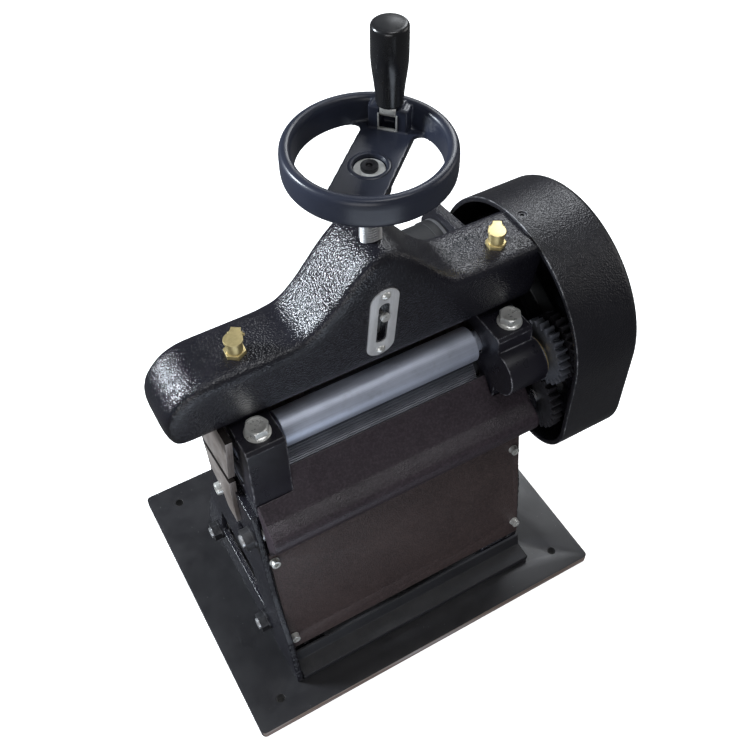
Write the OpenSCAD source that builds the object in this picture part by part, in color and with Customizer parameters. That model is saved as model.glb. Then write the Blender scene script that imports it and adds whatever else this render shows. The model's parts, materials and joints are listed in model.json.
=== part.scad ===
// Bench leather splitting machine: a cast bridge over two feed rollers and a
// flat blade, a handwheel gauge screw, and a motor driven gear train in a drum cover.
// X runs along the rollers, Y to the back, Z up. Origin: base underside, bolt pattern centre.

/* [Base] */
// Length of the base plate along the rollers
base_w = 404; // [380:1:440]
// Depth of the base plate
base_d = 320; // [300:1:340]
// Thickness of the base plate
base_t = 10; // [8:1:10]
// Diameter of the four bench bolt holes
base_hole_d = 9; // [7:0.5:11]
// Spacing of the bench bolt holes along X
hole_sx = 340; // [320:1:350]
// Spacing of the bench bolt holes along Y
hole_sy = 270; // [250:1:280]

/* [Frame] */
// Outer face of the side frames, from the middle plane
frame_out = 147; // [146:1:150]
// Inner face of the side frames, from the middle plane
frame_in = 140.4; // [140.4:0.1:141]
// Top of the frame shelf
shelf_z = 252; // [252:1:252]

/* [Bridge] */
// Middle of the bridge in Y, under the handwheel
beam_y = -33; // [-33:1:-33]
// Underside of the bridge
beam_bot = 348; // [348:1:348]
// Top of the bridge arms
arm_top = 415; // [410:1:418]
// Height of the hump over the arms
hump_h = 64; // [56:1:66]
// Half length of the hump
hump_l = 80; // [72:1:88]
// Half length of the bridge
beam_l = 193; // [184:1:196]

/* [Rollers] */
// Radius of the plain upper roller
roller_r = 17; // [16:0.1:17]
// Y of both roller axes
roller_y = -40; // [-40:1:-40]
// Height of the upper roller axis
upper_z = 311; // [311:0.5:311.5]
// Height of the lower roller axis
lower_z = 276; // [276:0.5:276]
// Half length of the rollers
roller_hl = 98; // [94:1:100]
// Flutes around the lower roller
flutes = 44; // [36:1:52]

/* [Gears] */
// Gear module
mod = 2.5; // [2.5:0.5:2.5]
// Teeth of the lower roller gear
z_low = 14; // [14:1:14]
// Teeth of the feed shaft gears
z_feed = 24; // [24:1:24]
// Teeth of the drive shaft gear
z_drive = 26; // [26:1:26]

/* [Handwheel] */
// Outer radius of the handwheel rim
wheel_r = 63.3; // [62:0.1:64]
// Top of the rim
wheel_top = 569; // [566:1:570]
// Height of the rim
rim_h = 24; // [20:1:26]
// Direction of the spoke bar, in degrees from +X
spoke_a = 42.5; // [30:0.5:60]
// Radius of the folding handle from the screw axis
handle_r = 48; // [47:0.5:48]
// Length of the handle grip
grip_l = 65; // [60:1:66]
// Largest radius of the grip
grip_r = 13.7; // [12:0.1:13.7]

/* [Cover] */
// Left edge of the gear cover
cover_x0 = 151; // [150.5:0.5:152]
// Right face of the gear cover
cover_x1 = 221; // [214:1:224]
// Radius of the cover's arched top
cover_r = 110; // [109:1:112]
// Wall of the cover
cover_t = 5; // [4:0.5:6]

/* [Hidden] */
$fn = 64;
cast = [0.07, 0.07, 0.08];
steel = [0.72, 0.73, 0.75];
zinc = [0.8, 0.8, 0.78];
brass = [0.8, 0.62, 0.3];
// Feed shaft axis, set so that its outer gear meshes with the lower roller gear
feed_d = mod * (z_feed + z_low) / 2;
feed_b = 143.5;
feed_y = roller_y + feed_d * cos(feed_b);
feed_z = lower_z + feed_d * sin(feed_b);
// Drive shaft axis, straight below the feed shaft
drive_y = feed_y;
drive_z = feed_z - mod * (z_feed + z_drive) / 2;
// Motor axis and the two pulleys
motor_y = 60;
motor_z = 328;
motor_r = 36;
pul_big = 32;
pul_small = 17;
cov_y = -20;
cov_z = 312;
cov_bot = 190;
spoke_top = wheel_top - 20;
hinge_z = wheel_top - 5;
posts = [[-20, 204], [45, 206], [31, 364]];
tie_pos = [[-71, 219], [-62, 36], [56, 47]];
// Bolts through the bearing blocks, left and right
bolt_pos = [[-121.8, -57], [126.4, -58.6]];
panel_pos = [[-136.6, 190], [128.2, 182], [-135.4, 66], [131, 66]];
pan_a = atan(22.7 / 153);
// Outer face of the front panel at height z
function pan_y(z) = -108.9 + (z - 46) * 22.7 / 153;
clear = 0.05;

// Rod along X from x0 to x1
module rodx(x0, x1, y, z, r) { translate([x0, y, z]) rotate([0, 90, 0]) cylinder(h = x1 - x0, r = r); }
// Outline in Y and Z, extruded along X from x0 to x1
module slabx(x0, x1) { translate([x0, 0, 0]) rotate([90, 0, 90]) linear_extrude(x1 - x0) children(); }
// Outline in X and Z, extruded along Y from y0 to y1
module slaby(y0, y1) { translate([0, y1, 0]) rotate([90, 0, 0]) linear_extrude(y1 - y0) children(); }
module box(x0, x1, y0, y1, z0, z1) { translate([x0, y0, z0]) cube([x1 - x0, y1 - y0, z1 - z0]); }
module rod(x, y, z0, z1, r) { translate([x, y, z0]) cylinder(h = z1 - z0, r = r); }
module hexrod(x, y, z0, z1, af) { translate([x, y, z0]) cylinder(h = z1 - z0, r = af / sqrt(3), $fn = 6); }
module rr2(w, d, r) { difference() { square([w, d], center = true);
  for (i = [-1, 1], j = [-1, 1]) translate([i * w / 2, j * d / 2]) difference() {
    square(2 * r, center = true); translate([-i * r, -j * r]) circle(r); } } }
// Involute spur gear outline, a tooth centred on the angle a0
pa = 25;
function inv(a) = tan(a) * 180 / PI - a;
function half(rb, rp, z, r) = (90 / z) * 0.94 + inv(pa) - inv(acos(min(1, rb / r)));
function gear_pts(z, a0) = let(rp = mod * z / 2, rb = rp * cos(pa), ra = rp + 0.95 * mod, rf = rp - 1.25 * mod,
    r1 = max(rb, rf + 0.1), n = 5)
  [for (i = [0:z - 1]) let(c = a0 + i * 360 / z, hb = half(rb, rp, z, r1))
    each concat([[rf * cos(c - hb * 1.05), rf * sin(c - hb * 1.05)]],
      [for (k = [0:n]) let(r = r1 + (ra - r1) * k / n, h = half(rb, rp, z, r)) [r * cos(c - h), r * sin(c - h)]],
      [for (k = [n:-1:0]) let(r = r1 + (ra - r1) * k / n, h = half(rb, rp, z, r)) [r * cos(c + h), r * sin(c + h)]],
      [[rf * cos(c + hb * 1.05), rf * sin(c + hb * 1.05)]])];
module spur(x0, x1, y, z, teeth, a0, bore) {
  difference() {
    translate([x0, y, z]) rotate([90, 0, 90]) linear_extrude(x1 - x0) polygon(gear_pts(teeth, a0));
    rodx(x0 - 1, x1 + 1, y, z, bore);
  }
}
// Hex flange bolt standing on z, shank going down
module flange_bolt(x, y, z, shank, d = 8) {
  rod(x, y, z, z + 1.8, d * 1.05);
  hexrod(x, y, z + 1.8, z + 8.6, 1.62 * d);
  rod(x, y, z - shank, z + 0.01, d / 2 - 0.1);
}
// Socket head cap screw along +X or -X
module cap_screw_x(x, y, z, dir, d, len) {
  rotate_dir = dir > 0 ? 0 : 180;
  translate([x, y, z]) rotate([0, 90, 0]) rotate([rotate_dir, 0, 0]) difference() {
    union() { cylinder(h = d, r = d * 0.8); translate([0, 0, -len]) cylinder(h = len + 0.01, r = d / 2 - 0.1); }
    translate([0, 0, d * 0.4]) cylinder(h = d, r = d * 0.46, $fn = 6);
  }
}

// ---------- base and frames ----------
module base_plate() color(cast) difference() {
  linear_extrude(base_t) rr2(base_w, base_d, 5);
  for (i = [-1, 1], j = [-1, 1]) rod(i * hole_sx / 2, j * hole_sy / 2, -1, base_t + 1, base_hole_d / 2);
  for (i = [-1, 1], y = [-86, 82]) rod(i * 122, y, -1, base_t + 1, 4.1);
}
frame_outline = [[-130, base_t], [-130, 18], [-117, 78], [-104, 108], [-94, 137], [-87, 180], [-83, 218], [-77, 246], [-75, shelf_z],
  [38, shelf_z], [37, 240], [31, 205], [34, 168], [58, 122], [82, 60], [98, 18], [98, base_t]];
// the right frame stands back behind the edge of the panel
frame_outline_r = [[-98, base_t], [-98, 18], [-94, 60], [-88, 108], [-81, 137], [-74, 180], [-76, 200], [-82, 208], [-83, 232], [-77, 246], [-75, shelf_z],
  [52, shelf_z], [56, 240], [62, 180], [72, 120], [88, 60], [98, 18], [98, base_t]];
module side_frame(s, boss) {
  x0 = s > 0 ? frame_in : -frame_out;
  x1 = s > 0 ? frame_out : -frame_in;
  sx0 = s > 0 ? 100 : -frame_in - 0.01;
  sx1 = s > 0 ? frame_in + 0.01 : -100;
  difference() {
    union() {
      slabx(x0, x1) polygon(s > 0 ? frame_outline_r : frame_outline);
      // shelf that carries the bearing block and the blade bed
      box(sx0, sx1, -75, 24, shelf_z - 14, shelf_z);
      // foot flange bolted to the base
      box(sx0, sx1, -100, -72, base_t, base_t + 9);
      box(sx0, sx1, 68, 96, base_t, base_t + 9);
      // rib under the shelf
      box(sx0 + (s > 0 ? 16 : 0), sx1 - (s > 0 ? 0 : 16), -10, 2, 170, shelf_z - 13.9);
      // lugs behind the front panel
      for (p = panel_pos) if (p[0] * s > 0) {
        slabx(s > 0 ? 120 : -frame_in - 0.01, s > 0 ? 134.5 : -128)
          polygon([[pan_y(p[1] - 8) + 3.3, p[1] - 8], [pan_y(p[1] + 8) + 3.3, p[1] + 8], [pan_y(p[1]) + 22, p[1] + 8], [pan_y(p[1]) + 22, p[1] - 8]]);
        if (s > 0) slabx(134.49, frame_in + 0.01)
          polygon([[pan_y(p[1]) + 9, p[1] - 8], [pan_y(p[1]) + 9, p[1] + 8], [pan_y(p[1]) + 22, p[1] + 8], [pan_y(p[1]) + 22, p[1] - 8]]);
      }
      if (boss) rodx(frame_in - 8, frame_out, drive_y, drive_z, 14.5);
    }
    // windows that lighten the casting
    slabx(x0 - 1, x1 + 1) polygon([[-52, 160], [-28, 160], [-26, 196], [-50, 196]]);
    slabx(x0 - 1, x1 + 1) polygon([[-60, 60], [46, 60], [30, 118], [-44, 118]]);
    for (y = [-86, 82]) rod(s * 122, y, 0, base_t + 10, 4.1);
    for (p = tie_pos) rodx(min(x0, x1) - 1, max(x0, x1) + 1, p[0], p[1], 6.1);
    rod(bolt_pos[s > 0 ? 1 : 0][0], bolt_pos[s > 0 ? 1 : 0][1], 200, shelf_z + 1, 5);
    if (!boss) rodx(-frame_out - 1, -frame_out + 21, -4, 212, 4);
    for (p = panel_pos) if (p[0] * s > 0) translate([p[0], pan_y(p[1]), p[1]]) rotate([90 - pan_a, 0, 0]) cylinder(h = 40, r = 2.5, center = true);
    if (boss) { rodx(frame_in - 20, frame_out + 1, drive_y, drive_z, 10.5);
      for (z = [194, 224], y = [34, 50]) rodx(frame_in - 1, frame_out + 1, y, z, 4.1);
      for (i = [0, 1]) rodx(frame_out - 7, frame_out + 1, posts[i][0], posts[i][1], 3); }
  }
}
module side_frame_left() color(cast) side_frame(-1, false);
module side_frame_right() color(cast) side_frame(1, true);
module foot_bolts() color(zinc) for (i = [-1, 1], y = [-86, 82]) {
  flange_bolt(i * 122, y, base_t + 9, base_t + 8);
}
module foot_rail() color(cast) difference() {
  slabx(-139.8, 139.8) polygon([[-130, base_t], [-130, base_t + 7], [-112, base_t + 9], [-109, base_t + 22], [-106, base_t + 22], [-106, base_t]]);
}
module tie_rods() color(steel) {
  for (p = tie_pos) {
    rodx(-frame_in, frame_in, p[0], p[1], 9);
    for (s = [-1, 1]) rodx(s > 0 ? frame_in - 0.01 : -frame_out - 12, s > 0 ? frame_out + (p[1] > 200 ? -0.5 : 12) : -frame_in + 0.01, p[0], p[1], 6);
  }
}
module tie_nuts() color(cast) for (p = tie_pos, s = [-1, 1]) if (s < 0 || p[1] < 200) difference() {
  union() {
    rodx(s > 0 ? frame_out : -frame_out - 2, s > 0 ? frame_out + 2 : -frame_out, p[0], p[1], 11);
    translate([s > 0 ? frame_out + 1.9 : -frame_out - 10, p[0], p[1]]) rotate([0, 90, 0]) cylinder(h = 8.1, r = 10.4, $fn = 6);
  }
  rodx(s > 0 ? frame_out - 1 : -frame_out - 11, s > 0 ? frame_out + 13 : -frame_out + 1, p[0], p[1], 6);
}
// ---------- front panel ----------
module front_panel() color(cast) difference() {
  slabx(-139.8, 136) polygon([[-86.2, 199], [-82.9, 199], [-105.6, 46], [-108.9, 46]]);
  for (p = panel_pos) translate([p[0], pan_y(p[1]), p[1]]) rotate([90 - pan_a, 0, 0]) cylinder(h = 30, r = 2.6, center = true);
}
module panel_screws() color(zinc) for (p = panel_pos) {
  translate([p[0], pan_y(p[1]), p[1]]) rotate([90 - pan_a, 0, 0]) difference() {
    union() {
      cylinder(h = 1, r = 4.8);
      translate([0, 0, 0.99]) cylinder(h = 5, r = 4.2);
      translate([0, 0, -14]) cylinder(h = 15, r = 2.4);
    }
    translate([0, 0, 3.4]) cylinder(h = 4, r = 2.3, $fn = 6);
  }
}
// ---------- feed table ----------
module feed_table() color(cast) difference() {
  union() {
    slabx(-140, 140) polygon([[-75, 268.5], [-89, 254.5], [-97, 251], [-103, 247.5], [-106.6, 242.5], [-107.6, 237], [-106, 230.5], [-101, 226],
      [-94, 216], [-91, 204.5], [-86.6, 204.5], [-84, 222], [-78.5, 246], [-75, 254]]);
    slabx(-104.1, 104.1) polygon([[-75, 268.5], [-60.5, 286], [-60.5, 279], [-66, 268], [-75, 256]]);
  }
  // clears the drive shaft boss of the right frame
  rodx(131, 141, drive_y, drive_z, 15);
}
// ---------- bearing blocks ----------
module block(s) difference() {
  union() {
    translate([s * 122.4, 0, 0]) slabx(-18, 18) polygon([[-75, shelf_z], [-75, 340], [-72, 343], [-22, 343], [-21, 342], [-21, shelf_z]]);
    if (s > 0) rodx(104.4, 144, feed_y, feed_z, 22.5);
  }
  rodx(s * 122.4 - 30, s * 122.4 + 30, roller_y, upper_z, 11.8);
  rodx(s * 122.4 - 30, s * 122.4 + 30, roller_y, lower_z, 11.8);
  rod(bolt_pos[s > 0 ? 1 : 0][0], bolt_pos[s > 0 ? 1 : 0][1], 200, 400, 5);
  if (s > 0) { rodx(110, 149, feed_y, feed_z, 11); rodx(131, 141, drive_y, drive_z, 15); }
}
module bearing_block_left() color(cast) block(-1);
module bearing_block_right() color(cast) block(1);
module block_bolts() color(zinc) {
  for (p = bolt_pos) {
    rod(p[0], p[1], 343, 344.6, 11.6);
    rod(p[0], p[1], 344.59, 346, 11);
    hexrod(p[0], p[1], 345.99, 353.4, 18.5);
    rod(p[0], p[1], 240, 343.01, 4.9);
  }
  // screw that holds the bed's rib, on the outside of the left frame
  cap_screw_x(-frame_out, -4, 212, -1, 8, 20);
}
module bush_x(x0, x1, y, z, ro, ri) difference() { rodx(x0, x1, y, z, ro); rodx(x0 - 1, x1 + 1, y, z, ri); }
module roller_bushes() color(brass) for (s = [-1, 1], z = [upper_z, lower_z])
  bush_x(s * 121.4 - 13, s * 121.4 + 13, roller_y, z, 11.8, 10 + clear);
module feed_bush() color(brass) {
  bush_x(112, 144, feed_y, feed_z, 11, 8 + clear);
  bush_x(144, 146.4, feed_y, feed_z, 20, 8 + clear);
  bush_x(146.39, 150.4, feed_y, feed_z, 12, 8 + clear);
}
module drive_bush() color(brass) bush_x(frame_in - 8, frame_out, drive_y, drive_z, 10.5, 7 + clear);
// ---------- blade ----------
module blade_bed() color(steel) difference() {
  union() {
    slabx(-138, 138) polygon([[-20.6, shelf_z + 34], [-20.6, 291.5], [22, 291.5], [22, shelf_z], [-14, shelf_z], [-14, shelf_z + 30]]);
    // forward ear at the left end, with a plate that runs down the outside of the frame
    slabx(-151, -frame_in - 4.6) polygon([[-44, 271.5], [14, 262], [14, shelf_z + 0.2], [-42, shelf_z + 0.2]]);
    slabx(-151, -frame_out - 0.05) polygon([[-42, shelf_z + 0.21], [14, shelf_z + 0.21], [12, 232], [-14, 222], [-24, 207], [-43, 207]]);
    slabx(-frame_in - 5, -137.99) polygon([[0, 264.3], [14, 262], [14, shelf_z + 0.2], [0, shelf_z + 0.2]]);
  }
  for (x = [-90, -30, 30, 90]) rod(x, 10, 276, 292, 3);
}
module blade() color(steel) difference() {
  union() {
    slabx(-138, 138) polygon([[-20.6, 291.5], [18, 291.5], [18, 293.5], [-20.6, 293.5]]);
    slabx(-96, 96) polygon([[-33, 293.2], [-20.59, 291.5], [-20.59, 293.5], [-25, 293.5]]);
  }
  for (x = [-90, -30, 30, 90]) rod(x, 10, 285, 299, 3.2);
}
module blade_clamp() color(steel) difference() {
  union() {
    slabx(-138, 138) polygon([[-8, 293.5], [-14.6, 300], [-14.6, beam_bot], [4, beam_bot], [20, 326], [20, 293.5]]);
    slabx(-151, -frame_in - 4.6) polygon([[-46, 282], [-59.5, beam_bot], [4, beam_bot], [14, 330], [14, 271.5]]);
    slabx(-frame_in - 5, -137.99) polygon([[0, 293.5], [0, beam_bot], [4, beam_bot], [18, 326], [18, 293.5]]);
  }
  for (x = [-90, -30, 30, 90]) { rod(x, 10, 200, 400, 3.2); rod(x, 10, 311, 360, 6.5); }
  // window for the gauge foot
  box(-60, 60, -16, -2, 290, 349);
  for (s = [-1, 1]) rod(s * 120, -10.4, 318, 349, 3);
}
module clamp_screws() color(zinc) for (x = [-90, -30, 30, 90]) difference() {
  union() { rod(x, 10, 311, 317, 5); rod(x, 10, 277, 311.01, 2.9); }
  hexrod(x, 10, 313.5, 318, 5);
}
// ---------- bridge ----------
function hump(x) = abs(x) >= hump_l ? 0 : hump_h * 0.5 * (1 + cos(180 * abs(x) / hump_l));
end_r = 44;
// right end of the bridge, at the gear cover
beam_re = 158;
// middle of the indicator plate
ind_x = -2.2;
// the oil cups are screwed in with their hinges to the back and right
cup_a = -35;
function beam_top() = concat(
  [for (a = [180:-9:99]) [-beam_l + 6 + end_r * (1 + cos(a)), arm_top - end_r + end_r * sin(a)]],
  [for (i = [-24:24]) let(x = i * hump_l / 24) [x, arm_top + hump(x)]],
  [[beam_re - 3, arm_top], [beam_re, arm_top - 3], [beam_re, beam_bot], [-beam_l + 15, beam_bot], [-beam_l + 10, beam_bot + 7]]);
module bridge() color(cast) difference() {
  intersection() {
    slaby(-64, 6) polygon(beam_top());
    slabx(-200, 200) polygon([[-44.5, beam_bot - 1], [-46.5, beam_bot + 4], [-58.6, 448], [-60, 480], [-60, 500], [4, 500], [4, 480], [3.5, beam_bot + 4], [2, beam_bot - 1]]);
  }
  // right arm runs into the cover and keeps clear of its wall
  difference() { box(149.5, 170, -80, 20, 340, 500); rodx(149, 171, cov_y, cov_z, 103.5); }
  // guide for the gauge slide, and the pocket it travels in
  box(-18, 18, beam_y - 10.3, beam_y + 14, beam_bot - 2, 456);
  rod(0, beam_y, 440, 468.3, 13);
  rod(0, beam_y, 468, 500, 10);
  // slot for the pointer through the front wall
  box(ind_x - 3, ind_x + 3, -70, beam_y, 384, 429);
  for (s = [-1, 1]) { rod(s * 121, beam_y, 396, 440, 4); rod(s * 120, -10.4, 330, 372, 3); }
  // screw holes of the indicator plate
  on_face() for (y = [-36, 36]) translate([0, y, 0]) cylinder(h = 20, r = 2, center = true);
}
module bridge_studs() color(zinc) for (s = [-1, 1]) rod(s * 120, -10.4, 319, 371, 2.95);
module screw_nut() color(brass) difference() {
  rod(0, beam_y, 457, 468, 13);
  rod(0, beam_y, 450, 480, 9 + clear);
}
// outer face of the bridge front at height z
function face_y(z) = -46.5 - (z - beam_bot - 4) * (12.1 / 96);
module on_face() translate([ind_x, face_y(407), 407]) rotate([90 + atan(12.1 / 96), 0, 0]) children();
module indicator_plate() color(steel) on_face() difference() {
  linear_extrude(2) difference() {
    union() { translate([-13, -30]) square([26, 60]); translate([0, -30]) circle(13); translate([0, 30]) circle(13); }
    translate([-5.1, -21]) square([10.2, 42]); translate([0, -21]) circle(5.1); translate([0, 21]) circle(5.1);
  }
  for (y = [-36, 36]) translate([0, y, -1]) cylinder(h = 5, r = 2.1);
}
module indicator_screws() color(zinc) on_face() for (y = [-36, 36]) translate([0, y, 0]) {
  translate([0, 0, -4.4]) cylinder(h = 6.41, r = 1.95);
  translate([0, 0, 2]) rotate_extrude() intersection() { translate([0, -2.2]) circle(5.2); square([6, 5]); }
}
// ---------- oil cups ----------
module oil_cup(x) difference() {
  union() {
    hexrod(x, beam_y, arm_top, arm_top + 6.5, 15.6);
    rod(x, beam_y, arm_top + 6.49, arm_top + 15.6, 6.8);
    rod(x, beam_y, arm_top - 10, arm_top + 0.01, 3.9);
    // lugs of the lid hinge
    for (i = [-1, 1]) {
      box(x + i * 3.9 - 1.2, x + i * 3.9 + 1.2, beam_y + 5.2, beam_y + 9.9, arm_top + 10.9, arm_top + 16.1);
      box(x + i * 3.9 - 1.2, x + i * 3.9 + 1.2, beam_y + 9.8, beam_y + 12.5, arm_top + 10.9, arm_top + 13.5);
      rodx(x + i * 3.9 - 1.2, x + i * 3.9 + 1.2, beam_y + 9.9, arm_top + 13.5, 2.6);
    }
  }
  rod(x, beam_y, arm_top - 11, arm_top + 17, 2.6);
  rodx(x - 8, x + 8, beam_y + 9.9, arm_top + 13.5, 1.2);
}
module oil_lid(x) {
  // pear shaped lid, its tongue over the hinge
  rod(x, beam_y, arm_top + 16.4, arm_top + 18.4, 7.8);
  translate([x, beam_y, arm_top + 16.4]) linear_extrude(2) polygon([[-7.3, 2.6], [-4.2, 8.2], [-3.9, 12.4], [3.9, 12.4], [4.2, 8.2], [7.3, 2.6]]);
  rodx(x - 2.2, x + 2.2, beam_y + 9.9, arm_top + 13.5, 2.5);
  box(x - 2.2, x + 2.2, beam_y + 8.3, beam_y + 11.4, arm_top + 13.5, arm_top + 17);
  rodx(x - 6.8, x + 6.8, beam_y + 9.9, arm_top + 13.5, 1.14);
}
module cup_turn(x) translate([x, beam_y, 0]) rotate([0, 0, cup_a]) translate([-x, -beam_y, 0]) children();
module oil_cup_left() color(brass) cup_turn(-121) oil_cup(-121);
module oil_cup_right() color(brass) cup_turn(121) oil_cup(121);
module oil_lid_left() color(brass) cup_turn(-121) oil_lid(-121);
module oil_lid_right() color(brass) cup_turn(121) oil_lid(121);
// ---------- gear cover ----------
module cover_2d(t) {
  translate([cov_y, cov_z]) circle(cover_r - t);
  translate([cov_y - cover_r + t, cov_bot + 50]) square([2 * (cover_r - t), cov_z - cov_bot - 50]);
  translate([cov_y - cover_r + 50, cov_bot + t]) square([2 * cover_r - 100, 60]);
  for (s = [-1, 1]) translate([cov_y + s * (cover_r - 50), cov_bot + 50]) circle(50 - t);
}
module gear_cover() color(cast) difference() {
  union() { slabx(cover_x0, cover_x1 - 4) cover_2d(0); slabx(cover_x1 - 4.01, cover_x1) cover_2d(2.5); }
  slabx(cover_x0 - 1, cover_x1 - 6) cover_2d(cover_t);
  for (p = posts) rodx(cover_x1 - 8, cover_x1 + 1, p[0], p[1], 3.2);
  rod(160, -16, 404, 430, 4);
}
module cover_posts() color(steel) for (i = [0:2]) difference() {
  union() {
    rodx(i < 2 ? frame_out : 140, cover_x1 - 6, posts[i][0], posts[i][1], 6.5);
    if (i < 2) rodx(frame_out - 6, frame_out + 0.01, posts[i][0], posts[i][1], 2.95);
  }
  rodx(cover_x1 - 20, cover_x1 - 5, posts[i][0], posts[i][1], 2.5);
}
module cover_screws() color(zinc) for (p = posts) cap_screw_x(cover_x1, p[0], p[1], 1, 5, 14);
module cover_plug() color(cast) difference() {
  rod(160, -16, 416.2, 421.6, 3.9);
  hexrod(160, -16, 418.6, 423, 4);
}
// ---------- motor and belt ----------
module motor_bracket() color(cast) difference() {
  slabx(130, 140) polygon([[26, 182], [56, 182], [96, 262], [99, 344], [84, 370], [40, 376], [26, 376], [23, 373], [23, 352], [26, 346]]);
  rodx(129, 141, motor_y, motor_z, 15);
  for (a = [45:90:315]) rodx(129, 141, motor_y + 29 * cos(a), motor_z + 29 * sin(a), 2.6);
  for (z = [194, 224], y = [34, 50]) rodx(129, 141, y, z, 4.1);
  rodx(129, 141, posts[2][0], posts[2][1], 3);
}
module bracket_bolts() color(zinc) for (z = [194, 224], y = [34, 50]) {
  translate([130, y, z]) rotate([0, -90, 0]) cylinder(h = 5.3, r = 7.5, $fn = 6);
  rodx(129.99, frame_out - 0.5, y, z, 3.95);
}
module motor() color([0.2, 0.2, 0.22]) difference() {
  union() {
    rodx(30, 117, motor_y, motor_z, motor_r - 1);
    rodx(116.99, 130, motor_y, motor_z, motor_r);
    rodx(24, 30.01, motor_y, motor_z, motor_r - 4);
    rodx(129.99, 134, motor_y, motor_z, 14.8);
  }
  rodx(60, 140, motor_y, motor_z, 7 + clear);
  for (a = [45:90:315]) rodx(116, 131, motor_y + 29 * cos(a), motor_z + 29 * sin(a), 2.5);
}
module motor_bolts() color(zinc) for (a = [45:90:315]) cap_screw_x(140, motor_y + 29 * cos(a), motor_z + 29 * sin(a), 1, 5, 22);
module terminal_box() color(cast) difference() {
  box(58, 112, motor_y - 20, motor_y + 20, motor_z - motor_r - 20, motor_z - motor_r + 12);
  rodx(50, 115, motor_y, motor_z, motor_r - 1);
  gland_axis(-5, 0) cylinder(h = 12, r = 5);
}
module cable_gland() color([0.1, 0.1, 0.1]) difference() {
  union() {
    gland_axis(-4.9, 0) cylinder(h = 5, r = 4.95);
    gland_axis(0, 0) cylinder(h = 8, r = 9.2, $fn = 6);
    gland_axis(7.99, 0) cylinder(h = 8, r = 7.5);
  }
  gland_axis(-6, 0) cylinder(h = 30, r = 3.2);
}
// along +Y from the back of the terminal box
module gland_axis(d, e) translate([85 + e, motor_y + 20 + d, motor_z - motor_r - 9]) rotate([-90, 0, 0]) children();
belt_a = atan2(motor_z - drive_z, motor_y - drive_y);
belt_c = norm([motor_z - drive_z, motor_y - drive_y]);
belt_s = asin((pul_big - pul_small) / belt_c);
// Tight loop around both pulleys, e is the distance from the pulley faces
function belt_pts(e) = concat(
  [for (k = [0:20]) let(a = belt_a + 90 - belt_s + k * (180 + 2 * belt_s) / 20) [drive_y + (pul_big + e) * cos(a), drive_z + (pul_big + e) * sin(a)]],
  [for (k = [0:14]) let(a = belt_a - 90 + belt_s + k * (180 - 2 * belt_s) / 14) [motor_y + (pul_small + e) * cos(a), motor_z + (pul_small + e) * sin(a)]]);
module drive_belt() color([0.06, 0.06, 0.06]) slabx(186, 198) difference() { polygon(belt_pts(3.4)); polygon(belt_pts(0.5)); }
module pulley(y, z, r, bore) difference() {
  union() { rodx(185.3, 198.7, y, z, r); rodx(183, 185.31, y, z, r + 2.5); rodx(198.69, 201, y, z, r + 2.5); }
  rodx(180, 202, y, z, bore);
}
// ---------- gauge ----------
module gauge_slide() color(steel) difference() {
  box(-17.7, 17.7, beam_y - 10, beam_y + 13.7, 372, 430);
  rod(0, beam_y, 405, 431, 5 + clear);
  rod(0, beam_y, 405, 412, 7.8);
  translate([ind_x, beam_y - 5, 417.5]) rotate([90, 0, 0]) cylinder(h = 20, r = 1.9);
}
module gauge_foot() color(steel) {
  box(-17.5, 17.5, beam_y + 2, beam_y + 13.5, 333.5, 372);
  slabx(-58, 58) polygon([[beam_y + 20.6, 341], [beam_y + 20.6, 303], [beam_y + 23, 300], [beam_y + 29.8, 300], [beam_y + 29.8, 341]]);
  box(-17.5, 17.5, beam_y + 13.49, beam_y + 20.61, 333.5, 341);
}
module pointer() color(zinc) translate([ind_x, beam_y - 6, 417.5]) rotate([90, 0, 0]) {
  cylinder(h = 19, r = 1.85);
  translate([0, 0, 18.2]) cylinder(h = 3, r = 4.2);
}
// ---------- handwheel ----------
module lift_screw() color(steel) {
  rod(0, beam_y, 431, 527, 9);
  rod(0, beam_y, 411.9, 431.01, 5);
  rod(0, beam_y, 405.2, 412, 7.5);
  difference() { rod(0, beam_y, 526.99, spoke_top - 4, 6); rod(0, beam_y, 529, 550, 4); }
}
module sector_spoke() { w = 40; translate([-(wheel_r - 4), -w / 2]) square([2 * (wheel_r - 4), w]); }
module handwheel() color(cast) translate([0, beam_y, 0]) rotate([0, 0, spoke_a]) difference() {
  union() {
    // rim
    translate([0, 0, wheel_top - rim_h]) rotate_extrude() polygon([[wheel_r - 9.9, 2], [wheel_r - 8.4, 0], [wheel_r - 2, 0], [wheel_r, 3],
      [wheel_r, rim_h - 3], [wheel_r - 2, rim_h - 0.4], [wheel_r - 4.5, rim_h], [wheel_r - 7.2, rim_h - 0.6], [wheel_r - 9.3, rim_h - 3]]);
    // spoke bar
    translate([0, 0, spoke_top - 8]) linear_extrude(8) intersection() { circle(wheel_r - 7); sector_spoke(); }
    // hub
    rodz(527, spoke_top - 0.1, 16);
    // lugs that carry the folding handle
    for (s = [-1, 1]) {
      translate([handle_r - 5.4, s > 0 ? 6.4 : -12, spoke_top - 0.1]) cube([12.4, 5.6, hinge_z - spoke_top + 0.1]);
      translate([handle_r, s > 0 ? 12 : -6.4, hinge_z]) rotate([90, 0, 0]) cylinder(h = 5.6, r = 5.4);
    }
    // webs from the lugs to the rim
    for (s = [-1, 1]) translate([handle_r - 6, s > 0 ? 11.9 : -19, spoke_top - 0.1]) cube([10, 7.1, 8]);
  }
  rodz(526, spoke_top - 3.9, 6.02);
  rodz(spoke_top - 4, spoke_top + 1, 12.5);
  translate([handle_r, 0, hinge_z]) rotate([90, 0, 0]) cylinder(h = 60, r = 2.5, center = true);
}
module rodz(z0, z1, r) { translate([0, 0, z0]) cylinder(h = z1 - z0, r = r); }
module wheel_washer() color(zinc) difference() { rod(0, beam_y, spoke_top - 4, spoke_top - 2.4, 11.5); rod(0, beam_y, 530, 550, 4.2); }
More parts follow.
